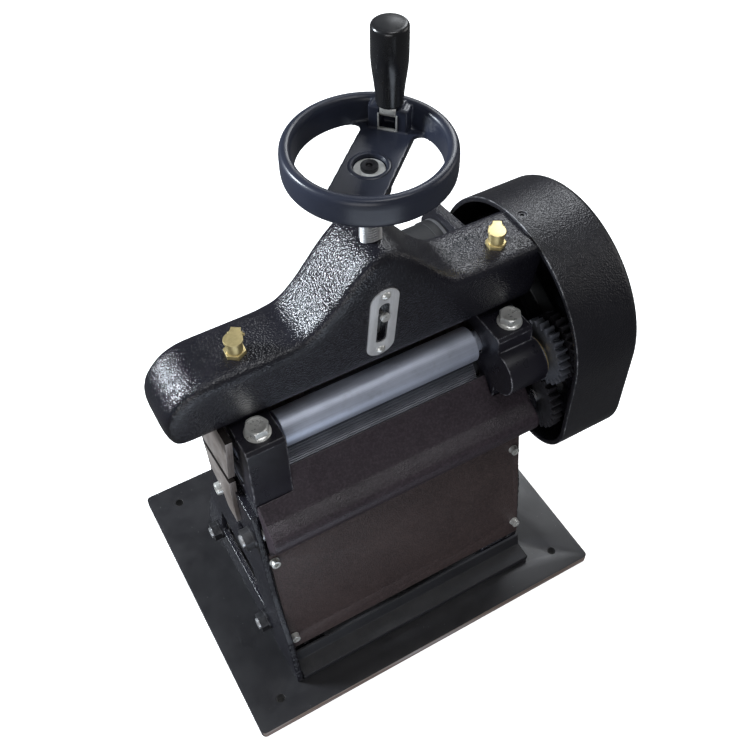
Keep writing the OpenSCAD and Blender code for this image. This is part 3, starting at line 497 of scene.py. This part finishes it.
# ------------------------------------------------------------------ gear cover
def gear_cover():
    CY, CZ, R, BOT, T = -20.0, 312.0, 110.0, 190.0, 5.0
    path = []
    for i in range(0, 73):
        a = rad(180 - 180 * i / 72)
        path.append((CY + R * math.cos(a), CZ + R * math.sin(a), math.cos(a), math.sin(a)))
    for k in range(1, 6):
        path.append((CY + R, CZ - (CZ - BOT - 50) * k / 5, 1.0, 0.0))
    for i in range(1, 19):
        a = rad(-90 * i / 18)
        path.append((CY + R - 50 + 50 * math.cos(a), BOT + 50 + 50 * math.sin(a), math.cos(a), math.sin(a)))
    for k in range(1, 9):
        path.append((CY + R - 50 - (2 * R - 100) * k / 8, BOT, 0.0, -1.0))
    for i in range(1, 19):
        a = rad(-90 - 90 * i / 18)
        path.append((CY - R + 50 + 50 * math.cos(a), BOT + 50 + 50 * math.sin(a), math.cos(a), math.sin(a)))
    for k in range(1, 5):
        path.append((CY - R, BOT + 50 + (CZ - BOT - 50) * k / 5, -1.0, 0.0))
    # section: (x, inset from the outer wall)
    sec = [(211.0, 5.0)] + [(152.0, 5.0)]
    sec += [(151.4, 4.8), (151.0, 4.2), (151.0, 0.7), (151.5, 0.1)]
    sec += [(152.2, 0.0), (165.0, 0.0), (180.0, 0.0), (197.0, 0.0), (213.0, 0.0)]
    sec += [(213.0 + 8.0 * math.sin(rad(a)), 8.0 - 8.0 * math.cos(rad(a))) for a in range(10, 91, 10)]
    sec += [(221.0, 14.0), (221.0, 30.0)]
    bm = bmesh.new()
    rows = [[bm.verts.new(Vector((x, y - ny * d, z - nz * d)) * MM) for (y, z, ny, nz) in path] for x, d in sec]
    n = len(path)
    for a, b in zip(rows, rows[1:]):
        for k in range(n):
            bm.faces.new((a[k], a[(k + 1) % n], b[(k + 1) % n], b[k]))
    bm.faces.new(rows[-1])
    inner = [bm.verts.new(Vector((215.0, v.co.y / MM, v.co.z / MM)) * MM) for v in rows[0]]
    for k in range(n):
        bm.faces.new((inner[k], inner[(k + 1) % n], rows[0][(k + 1) % n], rows[0][k]))
    bm.faces.new(inner)
    ob = make("cover_shell", bm, "frame", ("gear_cover",), "cover", sharp=40.0)
    # tapped hole for the plug on the crown
    cut = bmesh.new()
    lathe(cut, [(0, 419.4), (3.9, 419.4), (3.9, 421.0), (5.4, 423.4), (0, 423.4)], 40, lambda x, y, h: (160 + x, -16 + y, h))
    bore(ob, cut, "cover", 40.0)
    return ob


gear_cover()


# ------------------------------------------------------------------ handwheel
WY, SA = -33.0, 42.5
CS, SN = math.cos(rad(SA)), math.sin(rad(SA))


def in_wheel(u, v, z):
    """Wheel coordinates, u along the spoke towards the handle, to the part's frame, in mm."""
    return (u * CS - v * SN, WY + u * SN + v * CS, z)


def handwheel():
    bm = bmesh.new()
    rim = [(53.3, 547.5), (54.8, 545.4), (58.4, 545.0), (61.6, 545.6), (63.1, 548.0), (63.5, 552.0), (63.5, 562.0), (63.1, 566.0), (61.8, 568.3), (59.4, 569.1),
           (56.8, 568.8), (55.0, 567.4), (54.2, 565.0), (53.6, 556.0), (53.3, 547.5)]
    lathe(bm, rim, 128, lambda x, y, h: in_wheel(x, y, h))
    # spoke bar with filleted corners where it meets the rim
    out = []
    f = arc(38.0, 27.0, 7.0, -90.0, 42.0, 8)
    out += [(-x, y) for x, y in reversed(f)] + f
    a0 = math.degrees(math.atan2(f[-1][1], f[-1][0]))
    out += arc(0, 0, 57.5, a0 - 3, -(a0 - 3), 24)
    low = [(x, -y) for x, y in f]
    out += list(reversed(low)) + [(-x, y) for x, y in low]
    out += arc(0, 0, 57.5, 180 + (a0 - 3), 180 - (a0 - 3), 24)
    prism(bm, out, 546.0, 549.0, lambda u, v, z: in_wheel(u, v, z))
    prism(bm, [(-49.0, -19.6), (49.0, -19.6), (49.0, 19.6), (-49.0, 19.6)], 541.0, 548.6, lambda u, v, z: in_wheel(u, v, z))
    # hub
    lathe(bm, [(0, 527.0), (15.2, 527.0), (16.0, 528.0), (16.0, 545.0), (0, 545.0)], 64, lambda x, y, h: in_wheel(x, y, h))
    # round boss of the folding handle, split by its slot and grown into the rim
    for s in (-1, 1):
        a1 = math.degrees(math.acos(-5.3 / 15.6))
        boss = [(42.7, 6.45)] + [(48 + 15.6 * math.cos(rad(a1 + (32.0 - a1) * k / 14)), 15.6 * math.sin(rad(a1 + (32.0 - a1) * k / 14))) for k in range(15)] + [(60.0, 6.45)]
        prism(bm, [(u, s * v) for u, v in boss], 545.0, 567.6, lambda u, v, z: in_wheel(u, v, z))
        lug = [(42.7, 545.0), (42.7, 564.0)] + [(48 + 5.3 * math.cos(rad(a)), 564 + 5.3 * math.sin(rad(a))) for a in range(170, 69, -20)] + [(54.0, 569.0), (58.0, 567.0), (58.0, 545.0)]
        prism(bm, lug, s * 6.45, s * 10.4, lambda u, v, x: in_wheel(u, x, v))
    # low ramp from the bar to the rim on each side of the boss
    for s in (-1, 1):
        ramp = [(49.0, 546.0), (49.4, 549.0), (51.6, 552.2), (55.5, 556.5), (58.0, 556.5), (58.0, 546.0)]
        prism(bm, ramp, s * 12.0, s * 19.0, lambda u, v, x: in_wheel(u, x, v))
    ob = make("wheel_casting", bm, "handwheel", ("handwheel",), "wheel", sharp=None)
    melt(ob, 0.75, 5)
    # counterbore of the hub, after the skin is made
    cb = bmesh.new()
    lathe(cb, [(0, 545.0), (12.5, 545.0), (12.5, 552.0), (0, 552.0)], 64, lambda x, y, h: in_wheel(x, y, h))
    bore(ob, cb, "wheel", 40.0)


handwheel()


# hub details: a raised ring, the washer, the socket screw
def hub_ring():
    bm = bmesh.new()
    lathe(bm, [(12.4, 545.2), (12.4, 549.0), (12.8, 549.5), (14.4, 549.6), (15.5, 549.3), (16.0, 548.6), (14.0, 547.0), (12.9, 545.2), (12.4, 545.2)], 72, lambda x, y, h: in_wheel(x, y, h))
    make("wheel_hub_ring", bm, "handwheel", (), "wheel", sharp=40)


hub_ring()
refine("wheel_washer", 0.3, "washer")
refine("wheel_screw", 0.35, "black_oxide")


# ------------------------------------------------------------------ folding handle
def handle():
    bm = bmesh.new()
    pts = [(5.05, 569.9), (9.4, 569.9), (10.3, 570.6)]
    for k in range(25):
        t = k / 24
        pts.append((10.4 + 3.3 * (3 * t * t - 2 * t ** 3), 571.9 + 38 * t))
    pts += [(13.7, 617.0), (13.7, 625.0), (13.65, 629.0)]
    pts += [(13.65 - 2.6 * (1 - math.cos(rad(a))), 629.6 + 3.0 * math.sin(rad(a))) for a in range(10, 91, 10)]
    pts += [(10.4, 632.95), (8.0, 633.9), (5.0, 634.7), (2.5, 635.1), (0.0, 635.2)]
    pts = [(0.0, 626.0), (5.05, 626.0)] + pts
    lathe(bm, pts, 96, lambda x, y, h: in_wheel(48 + x, y, h))
    make("grip_handle", bm, "grip", ("handle_grip",), "grip", sharp=50)
    # clevis: bright stamped fork with its spindle
    refine("handle_clevis", 0.5, "zinc")
    refine("handle_pin", 0.4, "steel")
    # spring clip seen in the slot of the lugs
    bm = bmesh.new()
    for s in (-1, 1):
        prism(bm, [(42.1, 549.0), (42.9, 549.0), (42.9, 563.0), (42.1, 563.0)], s * 6.3, s * 7.6, lambda u, v, x: in_wheel(u, x, v))
    prism(bm, [(42.0, 548.8), (44.6, 548.8), (44.6, 550.2), (42.0, 550.2)], -7.6, 7.6, lambda u, v, x: in_wheel(u, x, v))
    round_edges(bm, 0.25)
    make("handle_clip", bm, "handwheel", (), "zinc")


handle()


# ------------------------------------------------------------------ gauge screw with its thread
def lift_screw():
    bm = bmesh.new()
    n, pitch = 72, 2.5
    z0, z1 = 431.0, 527.0
    nz = int((z1 - z0) / 0.25)
    rows = []
    for j in range(nz + 1):
        z = z0 + (z1 - z0) * j / nz
        fade = min(1.0, (z - z0) / 2.0, (z1 - z) / 1.0)
        row = []
        for k in range(n):
            ph = (z / pitch - k / n) % 1.0
            t = abs(2 * ph - 1)
            t = min(1.0, max(0.0, (t - 0.10) / 0.78))
            r = 7.55 + 1.4 * t * max(0.0, fade)
            a = 2 * math.pi * k / n
            row.append(bm.verts.new(Vector((r * math.cos(a), WY + r * math.sin(a), z)) * MM))
        rows.append(row)
    for a, b in zip(rows, rows[1:]):
        for k in range(n):
            bm.faces.new((a[k], a[(k + 1) % n], b[(k + 1) % n], b[k]))
    bm.faces.new(list(reversed(rows[0])))
    bm.faces.new(rows[-1])
    t3 = lambda x, y, h: (x, WY + y, h)
    lathe(bm, [(0, 405.2), (7.1, 405.2), (7.5, 405.6), (7.5, 411.6), (7.1, 412.0), (5.0, 412.0), (5.0, 431.2), (0, 431.2)], 48, t3)
    lathe(bm, [(0, 526.8), (6.0, 526.8), (6.0, 544.6), (5.6, 545.0), (4.0, 545.0), (4.0, 529.0), (0, 529.0)], 48, t3)
    make("lift_thread", bm, "handwheel", ("lift_screw",), "screw", sharp=60)


lift_screw()
refine("screw_nut", 0.5, "brass")


# ------------------------------------------------------------------ bolts and screws
def hex_bolt(bm, x, y, z, d, k=1.62):
    """Hex flange head standing on z: washer face, flange, six flats with a turned chamfer."""
    af = k * d
    t3 = lambda u, v, h: (x + u, y + v, z + h)
    lathe(bm, [(0, 0), (d * 1.02, 0), (d * 1.05, 0.25), (d * 1.05, 0.9), (d * 0.99, 1.3), (d * 0.9, 1.75), (0, 1.8)], 48, t3)
    rc = af / math.sqrt(3)
    n, rows = 72, []
    for h, lim in ((1.5, 9e9), (7.0, 9e9), (7.35, rc * 0.985), (7.75, rc * 0.955), (8.15, rc * 0.915), (8.5, rc * 0.86), (8.62, rc * 0.80)):
        row = []
        for k in range(n):
            a = 2 * math.pi * k / n
            s = (a + math.pi / 6) % (math.pi / 3) - math.pi / 6
            r = min(af / 2 / math.cos(s + 0.0), lim)
            row.append(bm.verts.new(Vector(t3(r * math.cos(a + math.pi / 6), r * math.sin(a + math.pi / 6), h)) * MM))
        rows.append(row)
    for a, b in zip(rows, rows[1:]):
        for k in range(n):
            bm.faces.new((a[k], a[(k + 1) % n], b[(k + 1) % n], b[k]))
    # shallow dish on top, as a forged head has
    last = rows[-1]
    dish = [(rc * 0.74, 8.66), (rc * 0.70, 8.50), (rc * 0.20, 8.48), (0, 8.48)]
    prev = last
    for r, h in dish:
        if r == 0:
            c = bm.verts.new(Vector(t3(0, 0, h)) * MM)
            for k in range(n):
                bm.faces.new((prev[k], prev[(k + 1) % n], c))
        else:
            row = [bm.verts.new(Vector(t3(r * math.cos(2 * math.pi * k / n + math.pi / 6), r * math.sin(2 * math.pi * k / n + math.pi / 6), h)) * MM) for k in range(n)]
            for k in range(n):
                bm.faces.new((prev[k], prev[(k + 1) % n], row[(k + 1) % n], row[k]))
            prev = row


def block_bolts():
    bm = bmesh.new()
    for x, y in ((-121.8, -57.0), (126.4, -58.6)):
        t3 = lambda u, v, h, x=x, y=y: (x + u, y + v, h)
        lathe(bm, [(5.2, 343.0), (11.2, 343.0), (11.6, 343.3), (11.6, 344.3), (11.2, 344.6), (5.2, 344.6), (5.2, 343.0)], 48, t3)
        hex_bolt(bm, x, y, 344.6, 10.4, 1.78)
        lathe(bm, [(0, 240.2), (4.3, 240.2), (4.9, 240.9), (4.9, 344.7), (0, 344.7)], 24, t3)
    # cap screw on the outside of the left frame
    t3 = lambda u, v, h: (-147.0 - h, -4.0 + u, 212.0 + v)
    lathe(bm, [(0, 0.0), (6.4, 0.0), (6.4, 6.4), (5.9, 7.6), (5.0, 8.0), (4.0, 8.0), (3.7, 7.7), (3.7, 3.4), (0, 3.2)], 48, t3)
    lathe(bm, [(0, -19.9), (3.5, -19.9), (3.9, -19.4), (3.9, 0.1), (0, 0.1)], 24, t3)
    make("bolts_block", bm, "frame", ("block_bolts",), "zinc", sharp=28)
    bm = bmesh.new()
    for i in (-1, 1):
        for y in (-86.0, 82.0):
            hex_bolt(bm, i * 122.0, y, 19.0, 8.0)
            lathe(bm, [(0, 2.0), (3.4, 2.0), (3.9, 2.6), (3.9, 19.2), (0, 19.2)], 24, lambda u, v, h, i=i, y=y: (i * 122.0 + u, y + v, h))
    make("bolts_foot", bm, "frame", ("foot_bolts",), "zinc", sharp=28)


block_bolts()
refine("panel_screws", 0.35, "zinc")
refine("indicator_screws", 0.2, "zinc")
refine("clamp_screws", 0.3, "black_oxide")
refine("cover_screws", 0.4, "zinc")
refine("bracket_bolts", 0.4, "zinc")
refine("motor_bolts", 0.4, "zinc")
refine("bridge_studs", 0.3, "zinc")
refine("tie_nuts", 0.8, "black_oxide")
refine("tie_rods", 0.6, "steel")


def plug():
    """Grub screw in the crown of the cover, its hex socket open to the top."""
    bm = bmesh.new()
    n = 36
    rows = []
    for r, h, six in ((3.85, 416.3, 0), (3.85, 420.2, 0), (3.5, 420.5, 0), (2.3, 420.5, 1), (2.3, 418.8, 1)):
        row = []
        for k in range(n):
            a = 2 * math.pi * k / n
            q = r
            if six:
                q = r * math.cos(math.pi / 6) / math.cos((a + math.pi / 6) % (math.pi / 3) - math.pi / 6)
            row.append(bm.verts.new(Vector((160 + q * math.cos(a), -16 + q * math.sin(a), h)) * MM))
        rows.append(row)
    for a, b in zip(rows, rows[1:]):
        for k in range(n):
            bm.faces.new((a[k], a[(k + 1) % n], b[(k + 1) % n], b[k]))
    bm.faces.new(list(reversed(rows[0])))
    bm.faces.new(rows[-1])
    make("plug_screw", bm, "frame", ("cover_plug",), "black_oxide", sharp=30)


plug()
refine("cover_posts", 0.4, "steel")
refine("pointer", 0.4, "zinc")
refine("indicator_plate", 0.45, "plate")

# ------------------------------------------------------------------ castings and plates
melt(make("frame_left", cad("side_frame_left"), "frame", ("side_frame_left",), "cast", sharp=None), 1.5, 5)
melt(make("frame_right", cad("side_frame_right"), "frame", ("side_frame_right",), "cast", sharp=None), 1.5, 5)
melt(make("table_casting", cad("feed_table"), "frame", ("feed_table",), "table", sharp=None), 1.2, 7)
refine("base_plate", 1.0, "base", 3)
refine("front_panel", 0.7, "panel")
refine("foot_rail", 1.2, "rail", 3)
refine("bearing_block_left", 1.3, "block", 3)
refine("bearing_block_right", 1.3, "block", 3)
refine("motor_bracket", 1.2, "cast", 3)
refine("motor", 0.5, "motor_grey")
refine("terminal_box", 1.5, "box_black", 3)
refine("cable_gland", 0.5, "box_black")
refine("drive_belt", 0.5, "belt")
refine("drive_pulley", 0.6, "block")
refine("motor_rotor", 0.5, "steel")

# ------------------------------------------------------------------ bare metal
refine("blade_bed", 0.8, "ear")
refine("blade_clamp", 0.8, "ear")
refine("blade", 0.05, "blade_steel")
refine("upper_roller", 0.8, "roller", 3)
# the fluted roller gets the painted-shade copy of the roller steel
refine("lower_roller", 0.12, "roller_painted_shade", 1)
for nd in ("gauge_slide", "gauge_foot", "feed_shaft", "drive_shaft"):
    refine(nd, 0.35, "steel")
refine("feed_gear", 0.3, "gear")
# these gears sit under the cover and take the painted-shade gear steel
for nd in ("lower_gear", "feed_gear_outer", "drive_gear"):
    refine(nd, 0.3, "gear_painted_shade")
for nd in ("roller_bushes", "feed_bush", "drive_bush"):
    refine(nd, 0.4, "brass")
for nd in ("oil_cup_left", "oil_cup_right"):
    refine(nd, 0.35, "brass_dull", 2)
for nd in ("oil_lid_left", "oil_lid_right"):
    refine(nd, 0.6, "brass_dull", 3)

# ------------------------------------------------------------------ stage, light, camera
bm = bmesh.new()
bmesh.ops.create_grid(bm, x_segments=8, y_segments=8, size=6.0)
me = bpy.data.meshes.new("floor")
bm.to_mesh(me)
bm.free()
floor = bpy.data.objects.new("floor", me)
floor.location = (0, 0, -0.0004)
bpy.context.scene.collection.objects.link(floor)
fm = Mat("floor_pale")
tone = fm.ramp(fm.noise(3.0, 3.0), [(0.3, (0.88, 0.88, 0.88)), (0.7, (0.91, 0.91, 0.91))])
fm.color(tone)
sep = fm.n("ShaderNodeSeparateXYZ")
fm.link(fm.co, sep.inputs["Vector"])
# painted shadow: under the base plate the floor is near-black and does not glow, so the plate's holes look shaded
shadow_under_base_x = fm.math("LESS_THAN", fm.math("ABSOLUTE", sep.outputs["X"]), 0.196)
shadow_under_base_y = fm.math("LESS_THAN", fm.math("ABSOLUTE", sep.outputs["Y"]), 0.154)
tone = fm.mix(fm.math("MULTIPLY", shadow_under_base_x, shadow_under_base_y), tone, (0.012, 0.012, 0.012))
fm.color(tone)
fm.link(tone, fm.p.inputs["Emission Color"])
fm.set(Roughness=0.8, Emission_Strength=0.9)
floor.data.materials.append(fm.m)
floor.visible_glossy = False
floor.visible_diffuse = False

bm = bmesh.new()
bmesh.ops.create_uvsphere(bm, u_segments=48, v_segments=24, radius=14.0)
me = bpy.data.meshes.new("backdrop")
bm.to_mesh(me)
bm.free()
dome = bpy.data.objects.new("backdrop", me)
bpy.context.scene.collection.objects.link(dome)
dm = Mat("backdrop_pale")
tone = dm.ramp(dm.noise(0.2, 2.0), [(0.3, (0.88, 0.88, 0.88)), (0.7, (0.91, 0.91, 0.91))])
dm.color(tone)
dm.link(tone, dm.p.inputs["Emission Color"])
dm.set(Roughness=0.9, Emission_Strength=0.95)
dome.data.materials.append(dm.m)
for flag in ("visible_glossy", "visible_diffuse", "visible_transmission", "visible_shadow"):
    setattr(dome, flag, False)


def area(name, loc, at, size, watts, colour=(1, 1, 1), size_y=None):
    d = bpy.data.lights.new(name, "AREA")
    d.energy = watts
    d.color = colour
    d.shape = "RECTANGLE"
    d.size = size
    d.size_y = size_y or size
    o = bpy.data.objects.new(name, d)
    o.location = loc
    o.rotation_mode = "QUATERNION"
    o.rotation_quaternion = (Vector(at) - Vector(loc)).to_track_quat("-Z", "Y")
    bpy.context.scene.collection.objects.link(o)
    return o


AT = (0.0, -0.03, 0.33)
area("window_left", (-1.62, 1.18, 1.30), AT, 0.46, 100.0, (0.86, 0.93, 1.0), 0.52)
area("softbox_top", (0.18, -0.55, 2.35), AT, 0.9, 12.5, (0.97, 0.98, 1.0))
area("softbox_back", (1.34, 1.20, 1.80), (0.16, -0.02, 0.40), 0.8, 20.0, (0.93, 0.96, 1.0))
area("fill_front", (-1.35, -1.75, 0.72), AT, 1.3, 14.5, (0.97, 0.97, 1.0))
low = area("table_bounce", (-0.24, -0.56, 0.006), (-0.02, -0.03, 0.50), 0.7, 1.7, (0.78, 0.87, 1.0), 0.35)
low.visible_camera = False
area("fill_right", (2.0, -0.6, 1.1), AT, 1.2, 8.0, (1.0, 0.98, 0.97))

w = bpy.data.worlds.new("studio")
bpy.context.scene.world = w
w.use_nodes = True
bg = w.node_tree.nodes["Background"]
bg.inputs["Color"].default_value = (0.96, 0.98, 1.0, 1.0)
bg.inputs["Strength"].default_value = 0.115
bpy.context.scene.view_settings.view_transform = "Standard"

az, el, roll = rad(-29.08), rad(50.33), rad(-0.81)
back = Vector((math.sin(az) * math.cos(el), -math.cos(az) * math.cos(el), math.sin(el)))
right = (-back).cross(Vector((0, 0, 1))).normalized()
up = right.cross(-back)
r2 = right * math.cos(roll) + up * math.sin(roll)
u2 = -right * math.sin(roll) + up * math.cos(roll)
cam_d = bpy.data.cameras.new("camera")
cam_d.sensor_width = 36.0
cam_d.lens = 46.607
cam_d.clip_start, cam_d.clip_end = 0.05, 50.0
cam = bpy.data.objects.new("camera", cam_d)
cam.matrix_world = Matrix(((r2.x, u2.x, back.x, -0.26643), (r2.y, u2.y, back.y, -0.5159), (r2.z, u2.z, back.z, 0.98238), (0, 0, 0, 1)))
bpy.context.scene.collection.objects.link(cam)
bpy.context.scene.camera = cam
